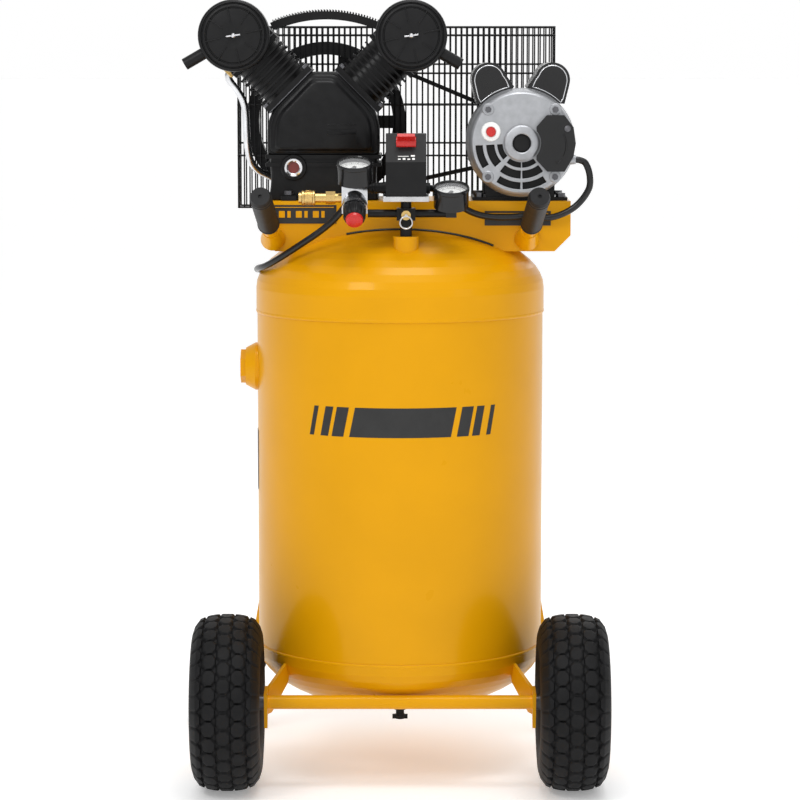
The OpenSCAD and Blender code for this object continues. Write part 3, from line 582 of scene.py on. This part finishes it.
for side, word in ((-1, "left"), (1, "right")):
    at = cylinder_frame(side)
    piece("gaskets_" + word, [gasket(44.8, 149.2, 150.8), gasket(46.6, 69.2, 70.6)], DARK_STEEL,
          at=at, bevel=0.3)
    studs = [shift(hexagon(5, 79, 84), x, y) for x in (-41, 41) for y in (-41, 41)]
    piece("barrel_nuts_" + word, studs, DARK_STEEL, at=at, bevel=0.3)
    # the air filter: a ribbed dish with a snorkel
    filter_at = to_front((CRANK[0] + side * FILTER_OUT, FILTER_Y, CRANK[2] + FILTER_OUT))
    rings = [(0, 0), (40, 0), (49, 3), (53.4, 11), (54, 14), (54, 29), (53.2, 33), (51, 35), (49.4, 35.6),
             (48.4, 34), (47.2, 34), (46.6, 36.6), (45.6, 37.4), (43, 37.8), (42.2, 36.2), (40.8, 36.2),
             (40, 38), (26, 40.2), (19, 40.2), (15, 39.4), (9, 39), (0, 39)]
    shapes = [lathe(rings, 96)]
    shapes += [shift(filter_rib(), turn=12 + 45 * k) for k in range(8)]
    neck = -14 if side < 0 else -30
    shapes.append(lathe([(0, neck), (13, neck), (13, 1), (0, 1)], 32))
    drop = math.radians(30)
    root, tip = [(side * r * math.cos(drop), -r * math.sin(drop), 20) for r in (30, 86)]
    shapes.append(rod(root, tip, 9, 24))
    piece("air_filter_" + word, shapes, PLASTIC, at=filter_at, bevel=0.5,
          stands_for=("filter_" + word,), angle=30)
    clip = [lathe([(0, 39), (4.4, 39), (4.6, 41), (3.8, 43.6), (2.2, 45), (0, 45.2)], 32)]
    for turn in (8, 188):
        clip.append(shift(block(3.2, 10.5, -1.1, 1.1, 41, 46.5), turn=turn))
    piece("filter_clip_" + word, clip, CHROME, at=filter_at, bevel=0.3)


def fillet(corners, radii, steps=7):
    """An outline with its corners rounded."""
    out = []
    n = len(corners)
    for k in range(n):
        p = Vector(corners[k])
        a = (Vector(corners[k - 1]) - p).normalized()
        b = (Vector(corners[(k + 1) % n]) - p).normalized()
        start, end = p + a * radii[k], p + b * radii[k]
        for m in range(steps + 1):
            t = m / steps
            q = (1 - t) ** 2 * start + 2 * t * (1 - t) * p + t * t * end
            out.append((q.x, q.y))
    return out


def loft(outline, layers, centre):
    """The outline drawn in towards a centre by an inset, at each layer's height."""
    points = []
    cx, cy = centre
    for inset, z in layers:
        for x, y in outline:
            d = math.hypot(x - cx, y - cy)
            k = 1 - inset / d
            points.append((cx + (x - cx) * k, cy + (y - cy) * k, z))
    return points, side_faces(len(layers), len(outline)) + end_faces(len(layers), len(outline))


case_at = to_front((CRANK[0], 0, CRANK[2]))
upper_case = fillet([(-20, 79), (20, 79), (85, 14), (85, -46), (-85, -46), (-85, 14)], [5, 5, 26, 5, 5, 26])
lower_case = fillet([(-82, -48), (82, -48), (79, -88), (84, -115), (-84, -115), (-79, -88)],
                    [3, 3, 16, 3, 3, 16])
shapes = [loft(upper_case, [(2, -60), (0, -57), (0, 54), (1, 57.5), (3.5, 60)], (0, 0)),
          loft(lower_case, [(2, -60), (0, -57), (0, 53), (1.5, 57), (4, 59)], (0, -80)),
          lathe([(0, -60.5), (34, -60.5), (36, -62), (34, -69), (0, -69)], 64)]
for z in (-52, -64):
    shapes.append(loft(fillet([(-88, z), (88, z), (88, z + 6), (-88, z + 6)], [1.8] * 4, 3),
                       [(0.6, -60), (0, -59), (0, 61), (0.6, 62)], (0, z + 3)))
for x in (-52, 52):
    lug = fillet([(x - 12, -115), (x + 12, -115), (x + 12, -107), (x - 12, -107)], [2] * 4, 3)
    for layers in ([(0.6, -77), (0, -76), (0, -58)], [(0, 58), (0, 76), (0.6, 77)]):
        shapes.append(loft(lug, layers, (x, -111)))
shapes.append(shift(lathe([(0, 58), (20, 58), (20, 63), (18.6, 64.6), (0, 64.6)], 48), -45, -65))
casting = piece("crankcase_casting", shapes, IRON, at=case_at, stands_for=("crankcase",))
# the casting is bored for the pistons, with an exact Boolean that is kept as a plain mesh
points, faces = [], []
for side in (-1, 1):
    bore_points, bore_faces = moved(rod((0, 0, 0), (0, 0, 120), CASTING_BORE, 64), cylinder_frame(side))
    faces += [tuple(i + len(points) for i in face) for face in bore_faces]
    points += bore_points
bore_mesh = bpy.data.meshes.new("bores")
bore_mesh.from_pydata(points, [], faces)
bores = bpy.data.objects.new("bores", bore_mesh)
bpy.context.scene.collection.objects.link(bores)
cut = casting.modifiers.new("bores", "BOOLEAN")
cut.operation = "DIFFERENCE"
cut.object = bores
cut.solver = "EXACT"
cut.use_self = True
bpy.context.view_layer.update()
hollow = bpy.data.meshes.new_from_object(casting.evaluated_get(bpy.context.evaluated_depsgraph_get()))
casting.modifiers.clear()
casting.data = hollow
bpy.data.objects.remove(bores)
shade(hollow, 48)
add_bevel(casting, 0.8)
cover_line = fillet([(-18, 75), (18, 75), (80, 12), (80, -43), (-80, -43), (-80, 12)],
                    [9, 9, 26, 9, 9, 26], 9)
cover_layers = [(0, 59.5), (0, 63.6), (0.7, 64.8), (5.5, 65.4), (7, 66.2), (8.4, 69), (10.5, 71.4), (14, 73)]
case_front = to_front((CRANK[0], -65, CRANK[2]))
ribs = [loft(fillet([(6, -16), (50, -16), (50, -8), (6, -8)], [3] * 4, 4),
             [(0, 7.6), (0, 8.3), (0.6, 8.8)], (28, -12)),
        loft(fillet([(6, -1), (50, -1), (50, 1), (6, 1)], [0.9] * 4, 3),
             [(0, 7.6), (0, 8.5), (0.3, 8.7)], (28, 0))]
piece("crankcase_front", [loft(cover_line, cover_layers, (0, 0))], IRON, at=case_at,
      angle=62, stands_for=("crankcase_cover",))
piece("cover_panel_ribs", ribs, IRON, at=case_front, angle=50)
sight = to_front((CRANK[0] - 45, -64, CRANK[2] - 65))
sight_ring = [(9, 3.6), (9, 7.6), (10.5, 8.6), (13.2, 8.2), (14.4, 6.4), (14.4, 2), (12, 1), (9, 1)]
piece("sight_ring", [lathe(sight_ring, 48, True)], CHROME, at=sight)
piece("sight_window", [lathe([(0, 4.2), (5, 4.6), (8.9, 4.2), (8.9, 3.2), (0, 3.2)], 48)], DARK_RED,
      at=sight)
discharge = smooth_path([(-258.8, -8, 1070.4), (-262, -8, 1064), (-260, -7, 1055), (-250, -4, 1042),
                         (-241, 0, 1026), (-237, 5, 1008), (-236, 13, 980), (-235, 22, 955), (-231, 34, 932),
                         (-221, 47, 917), (-205, 61, 908), (-193, 69, 900), (-190, 70, 889)], 6)
piece("discharge_pipe", [tube(discharge, 5.5, 20),
                         shift(hexagon(8, DECK_Z, DECK_Z + 14), -190, 70)],
      TUBE, bevel=0.3, angle=50, stands_for=("discharge_tube",))
collar = place((-253, -8, 1076), (0, 1, 0), (-1, 0, -1))
piece("discharge_nut", [hexagon(10, 4, 15)], BRASS, at=collar, bevel=0.4)

# ---------- belt guard ----------

GUARD_LEFT, GUARD_RIGHT, GUARD_LOW, GUARD_HIGH = -255, 243, 855, 1139
ROWS_FRONT = (857, 938, 1017, 1066, 1125, 1137.6)
ROWS_REAR = (857, 956, 1017, 1080, 1125, 1137.6)
HOLES = ((CRANK[0], CRANK[2], 22), (MOTOR[0], MOTOR[2], 15))
PITCH, THIN = 8.72, 1.25


def ring_points(cx, cz, radius, y, count=48):
    return [(cx + radius * math.cos(2 * math.pi * k / count), y,
             cz + radius * math.sin(2 * math.pi * k / count)) for k in range(count)]


def wire_panel(y, rows, holes):
    """Upright wires, the rows across them, and a ring round each hole."""
    wires = []
    count = int((GUARD_RIGHT - GUARD_LEFT - 4) / PITCH)
    for k in range(count + 1):
        x = GUARD_LEFT + 2.6 + k * PITCH
        spans = [(GUARD_LOW + 1, GUARD_HIGH - 1)]
        for cx, cz, r in holes:
            if abs(x - cx) < r:
                half = math.sqrt(r * r - (x - cx) ** 2)
                spans = [(spans[0][0], cz - half), (cz + half, spans[-1][1])]
        wires += [rod((x, y, a), (x, y, b), THIN, 6) for a, b in spans]
    for z in rows:
        cuts = [(cx - math.sqrt(r * r - (z - cz) ** 2), cx + math.sqrt(r * r - (z - cz) ** 2))
                for cx, cz, r in holes if abs(z - cz) < r]
        edge = GUARD_LEFT + 1.5
        for a, b in cuts:
            wires.append(rod((edge, y + 2, z), (a, y + 2, z), 1.5, 8))
            edge = b
        wires.append(rod((edge, y + 2, z), (GUARD_RIGHT - 1.5, y + 2, z), 1.5, 8))
    for cx, cz, r in holes:
        wires.append(tube(ring_points(cx, cz, r, y), 1.6, 8, loop=True))
    return wires


tabs = [block(x - 6, x + 6, 80, 88.5, 856, 869) for x in (-195, 30, 240)]
piece("guard_mesh_front", wire_panel(GUARD_FRONT_Y, ROWS_FRONT, HOLES) + tabs, WIRE,
      angle=50, stands_for=("guard_front",))
links = []
for z in ROWS_FRONT:
    for x in (GUARD_LEFT + 1.6, GUARD_RIGHT - 1.6):
        links.append(rod((x, 90, z), (x, 151, z), 1.4, 6))
for k in range(7):
    y = GUARD_FRONT_Y + k * PITCH + 4
    for x in (GUARD_LEFT + 1.6, GUARD_RIGHT - 1.6):
        links.append(rod((x, y, GUARD_LOW + 1), (x, y, GUARD_HIGH - 1), 1.2, 6))
for k in range(26):
    x = GUARD_LEFT + 8 + k * (GUARD_RIGHT - GUARD_LEFT - 16) / 25
    if x <= -205 or x >= -27:  # the arch covers the span between
        links.append(rod((x, GUARD_FRONT_Y, GUARD_HIGH - 1.5), (x, 151, GUARD_HIGH - 1.5), 1.2, 6))
piece("guard_mesh_rear", wire_panel(GUARD_REAR_Y, ROWS_REAR, ()), WIRE, angle=50,
      stands_for=("guard_rear",))
piece("guard_mesh_sides", links, WIRE, angle=50, stands_for=("guard_sides",))


def arch_shape(r0, r1, y0, y1):
    steps = 40
    points = []
    for k in range(steps + 1):
        a = math.radians(ARCH_START + (ARCH_END - ARCH_START) * k / steps)
        for r, y in ((r0, y0), (r1, y0), (r1, y1), (r0, y1)):
            points.append((CRANK[0] + r * math.cos(a), y, ARCH_Z + r * math.sin(a)))
    return points, side_faces(steps + 1, 4) + end_faces(steps + 1, 4)


arch = [arch_shape(205, 217, 88, 91), arch_shape(205, 217, 148, 151), arch_shape(215, 217, 90, 149)]
for k in range(38):
    a = math.radians(68 + 44 * k / 37)
    for y in (89.5, 149.5):
        base, top = [(CRANK[0] + r * math.cos(a), y, ARCH_Z + r * math.sin(a)) for r in (216, 220)]
        arch.append(rod(base, top, 0.9, 6))
for a in (ARCH_START, ARCH_END):
    for y in (89, 150):
        foot = math.radians(a)
        x = CRANK[0] + 211 * math.cos(foot)
        arch.append(rod((x, y, GUARD_HIGH - 3), (x, y, ARCH_Z + 211 * math.sin(foot)), 1.5, 8))
piece("guard_arch", arch, METAL, angle=40)

# ---------- painted shadow: a dark line for the gap between the deck's skirt and the tank ---

GAP_SHADOW_A, GAP_SHADOW_B, DOME_BASE = 207.2, 92.2, 740  # half axes of the dome's outline at the skirt
gap_shadow_line = [(GAP_SHADOW_A * math.cos(math.radians(t)), DECK_FRONT - 0.6, DOME_BASE + GAP_SHADOW_B * math.sin(math.radians(t)))
        for t in range(47, 114, 3)]
piece("deck_gap_painted_shadow", [tube(gap_shadow_line, 1.9, 10)], CABLE, angle=50)

# ---------- motor ----------

bell = to_front((MOTOR[0], BELL_FRONT, MOTOR[2]))
RESET_X, RESET_Y = -46, 17  # the reset button's place on the end bell
# each ring of cooling slots: inner radius, outer radius, spans in degrees
SLOTS = ((28.5, 36.5, ((183, 222), (232.5, 268.5), (271.5, 307.5))),
         (41, 53, ((183, 222), (232.5, 268.5), (271.5, 307.5))),
         (58.5, 69, ((183, 213), (237, 268.5), (271.5, 303))))


def bell_plate():
    """The flat face of the end bell, a ring of cells with its cooling slots left open."""
    radii = [13.8, 20, 28.5, 36.5, 41, 44, 47, 50, 53, 58.5, 69, 72, 74]
    points, faces = [], []
    steps = 240
    for r in radii:
        points += [(r * math.cos(2 * math.pi * k / steps), r * math.sin(2 * math.pi * k / steps), 0)
                   for k in range(steps)]
    for level in range(len(radii) - 1):
        for k in range(steps):
            angle = 360 / steps * (k + 0.5)
            x, y = polar((radii[level] + radii[level + 1]) / 2, angle)
            inside = any(r0 <= radii[level] < r1 and any(a <= angle < b for a, b in spans)
                         for r0, r1, spans in SLOTS)
            if inside or math.hypot(x - RESET_X, y - RESET_Y) < 8.6:
                continue
            a, b = level * steps + k, level * steps + (k + 1) % steps
            faces.append((a, b, b + steps, a + steps))
    return points, faces


plate = piece("end_bell_face", [bell_plate()], CAST, at=bell, angle=40)
thick = plate.modifiers.new("thickness", "SOLIDIFY")
thick.thickness = 5 * MM
thick.offset = -1
add_bevel(plate, 0.7)
bosses = [shift(lathe([(0, 1), (8, 1), (9, 0), (9.4, -11), (0, -11)], 32), *polar(71, 45 + 90 * k))
          for k in range(4)]
rim = lathe([(72, -5), (72, -0.4), (74.4, -1.6), (76.8, -4.2), (78.6, -8), (80.2, -20), (81, -30),
             (82, -31.4), (82, -37), (81, -38), (76, -38), (74, -5)], 120, True)
gland_boss = moved(lathe([(0, 0), (7, 0), (7.8, 2), (7, 15.4), (6, 16), (0, 16)], 24),
                   Matrix.Translation((66, -25, -14)) @ Matrix.Rotation(math.radians(90), 4, "Y"))
piece("end_bell_rim", [rim, gland_boss] + bosses, CAST, at=bell, angle=40,
      stands_for=("motor_end_bell",))
winding = lathe([(10, -9), (30, -9.5), (70, -9), (73, -12), (70, -14), (10, -14)], 96, True)
piece("motor_winding_dark", [winding], METAL, at=bell)
hub_ring = lathe([(14, 1), (14, 5.6), (15.5, 6.6), (24, 5.8), (26.5, 4.4), (27, 3.4), (20, 1)], 64, True)
piece("bell_hub_ring", [hub_ring], CAST, at=bell)
hub_cap = lathe([(0, 2.6), (8, 2.4), (12.6, 1.2), (13.8, -1.4), (13.8, -5), (0, -5)], 48)
piece("bell_hub_cap", [hub_cap], METAL, at=bell)
reset = to_front((MOTOR[0] + RESET_X, BELL_FRONT, MOTOR[2] + RESET_Y))
reset_ring = lathe([(7.3, -0.4), (7.3, 2.6), (8.4, 3.4), (13.4, 2.8), (14.6, 1.4), (14.8, -0.4)], 48, True)
piece("reset_ring", [reset_ring], WHITE, at=reset)
cover_edge = [(37, 42), (63, 42), (77, 24), (80.5, 0), (77, -20), (64, -42), (38, -42), (22, -25)]
cover_edge += [polar(28.6, a) for a in range(-40, 41, 8)]
cover_edge.append((22, 25))
curl = smooth_path([(62, 14, 12.3), (65.5, 4, 12.6), (66, -8, 12.6), (62, -20, 12.6), (54, -29, 12.2),
                    (51, -26, 12)], 5)
piece("terminal_box", [prism(cover_edge, 0.2, 12), tube(curl, 1.3, 10)], GLOSS, at=bell,
      bevel=1.2, angle=50, stands_for=("terminal_cover",))
piece("terminal_screw", [shift(lathe([(0, 12.8), (3, 13.6), (4.6, 13), (5, 11.6), (0, 11.6)], 24), 68, 22)],
      DARK_STEEL, at=bell)
# painted highlight: bright aluminium strips along the capacitor covers' outlines stand in for the glossy
# rims' edge highlight
highlight_strips = []
for side in (-1, 1):
    line = [(48 + x, 94 + y) for x, y in [polar(21.5, a) for a in range(162, -18, -6)]]
    line += [(66.5, 78), (63.5, 66)]
    line += [polar(85, a) for a in range(45, 80, 3)]
    line.append((22, 93))
    highlight_strips.append(tube([(side * x, y, 0) for x, y in line], 0.9, 8, loop=True))
piece("capacitor_edge_painted_highlight", highlight_strips, TUBE, at=to_front((MOTOR[0], -74.7, MOTOR[2])), angle=50)
ribs = []
for k in range(22):
    a = math.radians(200 + 140 * k / 21)
    ribs.append(moved(block(78.6, 82.2, -1.4, 1.4, 2, 118), Matrix.Rotation(a, 4, "Z")))
piece("motor_shell_ribs", ribs, METAL, at=to_front((MOTOR[0], 56, MOTOR[2])), bevel=0.4)

# ---------- switch, regulator, gauges and fittings ----------

slope = place((9, -178, 937), (1, 0, 0), (0, -0.8445, 0.5355))
marks = [block(-12 + 7 * k, -8 + 7 * k, 4, 6 + k % 2, -0.1, 0.3) for k in range(4)]
marks += [block(-12, 4, 9.4, 10.4, -0.1, 0.3), block(7, 13, 9.4, 12, -0.1, 0.3)]
piece("switch_marks", marks, WHITE, at=slope, bevel=0.1)
piece("switch_base_plate", [block(-25.2, 43.2, -177, -105.6, 878.4, 886.4)], STEEL, bevel=0.8)
switch_face = to_front((9, -178, 0))
piece("switch_seam", [block(-30.6, 30.6, 889, 890.4, -0.3, 0.7)], METAL, at=switch_face,
      bevel=0.2)

tilt = math.radians(128)
knob_axis = (0, -math.sin(tilt), math.cos(tilt))
knob_at = place((-67, -172, 881), (1, 0, 0), knob_axis)
outer = []
for k in range(96):
    a = 2 * math.pi * k / 96
    r = 17.2 - 1.1 * (math.cos(16 * a) > 0.2)
    outer.append((r * math.cos(a), r * math.sin(a)))
levels = ((0.88, 20.4), (0.97, 21.6), (1, 23), (0.96, 38), (0.9, 41.4), (0.8, 43))
points = [(x * scale, y * scale, z) for scale, z in levels for x, y in outer]
fluted = points, side_faces(len(levels), 96) + end_faces(len(levels), 96)
piece("pressure_knob_grip", [fluted, lathe([(0, 14.6), (7.9, 14.6), (7.9, 21), (0, 21)], 32)], PLASTIC,
      body="pressure_knob", at=knob_at, angle=40, stands_for=("regulator_knob",))
knob_disc = lathe([(0, 49.4), (9, 49.2), (12.2, 48), (13, 46), (13, 42.6), (0, 42.6)], 48)
piece("pressure_knob_disc", [knob_disc], RED, body="pressure_knob", at=knob_at)

lean = math.radians(20)
gauge_axis = (0, -math.sin(lean), math.cos(lean))
for word, at in (("regulated", (-67, -176, 908)), ("tank", (76, -158, 871))):
    frame_at = place(at, (1, 0, 0), gauge_axis)
    rim = lathe([(23.6, 24), (23.6, 30.2), (24.6, 31.4), (26.2, 31.2), (26.9, 29.6), (26.9, 26), (26, 25),
                 (25, 24)], 72, True)
    piece("gauge_rim_" + word, [rim], GLOSS, at=frame_at)
    dial = lathe([(2.4, 22.1), (23.7, 22.1), (23.7, 21.5), (2.4, 21.5)], 72, True)
    piece("gauge_dial_" + word, [dial], WHITE, at=frame_at)
    ticks = []
    for k in range(28):
        start, half = (16.6, 0.45) if k % 3 == 0 else (18.6, 0.22)
        ticks.append(shift(block(start, 21.4, -half, half, 22.05, 22.3), turn=225 - 10 * k))
    arc = [(*polar(15.2, a), 22.15) for a in range(-45, 226, 9)]
    ticks.append(tube(arc, 0.25, 6))
    piece("gauge_ticks_" + word, ticks, INK, at=frame_at)
    glass = lathe([(0, 29.2), (14, 28.9), (23.7, 28.0), (23.7, 27.4), (0, 28.5)], 64)
    piece("gauge_glass_" + word, [glass], GLASS, at=frame_at)

coupler = place((-145.6, -164, 884), (0, 0, 1), (1, 0, 0))
sleeve = [lathe([(7.1, 0), (10.4, 0), (11.4, 1), (11.4, 3.4), (10.4, 4.4), (10.4, 15.6), (11.4, 16.6),
                 (11.4, 19), (10.4, 20), (7.1, 20)], 64, True)]
for k in range(30):
    sleeve.append(shift(block(10.1, 11.1, -0.5, 0.5, 5.4, 14.6), turn=12 * k))
piece("coupler_sleeve_knurl", sleeve, BRASS, body="coupler_collar", at=coupler,
      stands_for=("coupler_sleeve",), bevel=0.15)
gland = [tube([(-20, -130, 897), (-26, -130, 897), (-34, -130, 897), (-42, -130, 897), (-50, -130, 896.6)],
              8.4, 20, taper=lambda t: 1.12 - 0.4 * t)]
for x in (-27, -32, -37, -42):
    gland.append(tube([(x, -130 + 7.4 * math.cos(a), 897 + 7.4 * math.sin(a))
                       for a in [2 * math.pi * k / 24 for k in range(24)]], 1.3, 8, loop=True))
piece("cord_strain_relief", gland, RUBBER, angle=50)

# ---------- handles ----------

for side, word in ((-1, "left"), (1, "right")):
    direction = Vector((side * 0.06397, -0.91483, 0.39875))
    at = place((side * 192, DECK_FRONT, 818), (1, 0, 0), direction)
    grooves = [lathe([(15.9, z), (16.7, z + 0.8), (16.7, z + 2.6), (15.9, z + 3.4), (14, z + 1.7)], 48, True)
               for z in (64, 166)]
    piece("grip_rings_" + word, grooves, RUBBER, at=at)
    # painted shade: a dark disc deep in each grip's end hole makes the hole read dark
    hole_shade_disc = lathe([(0, 177), (2.4, 177.2), (10.8, 178), (10.8, 176.2), (0, 176.2)], 32)
    piece("grip_hole_painted_shade_" + word, [hole_shade_disc], METAL, at=at)

# ---------- floor ----------

FLOOR_HALF = 150
floor_mesh = bpy.data.meshes.new("floor")
floor_mesh.from_pydata([(-FLOOR_HALF, -FLOOR_HALF, 0), (FLOOR_HALF, -FLOOR_HALF, 0),
                        (FLOOR_HALF, FLOOR_HALF, 0), (-FLOOR_HALF, FLOOR_HALF, 0)], [], [(0, 1, 2, 3)])
floor_mesh.materials.append(FLOOR)
floor = bpy.data.objects.new("floor", floor_mesh)
bpy.context.scene.collection.objects.link(floor)
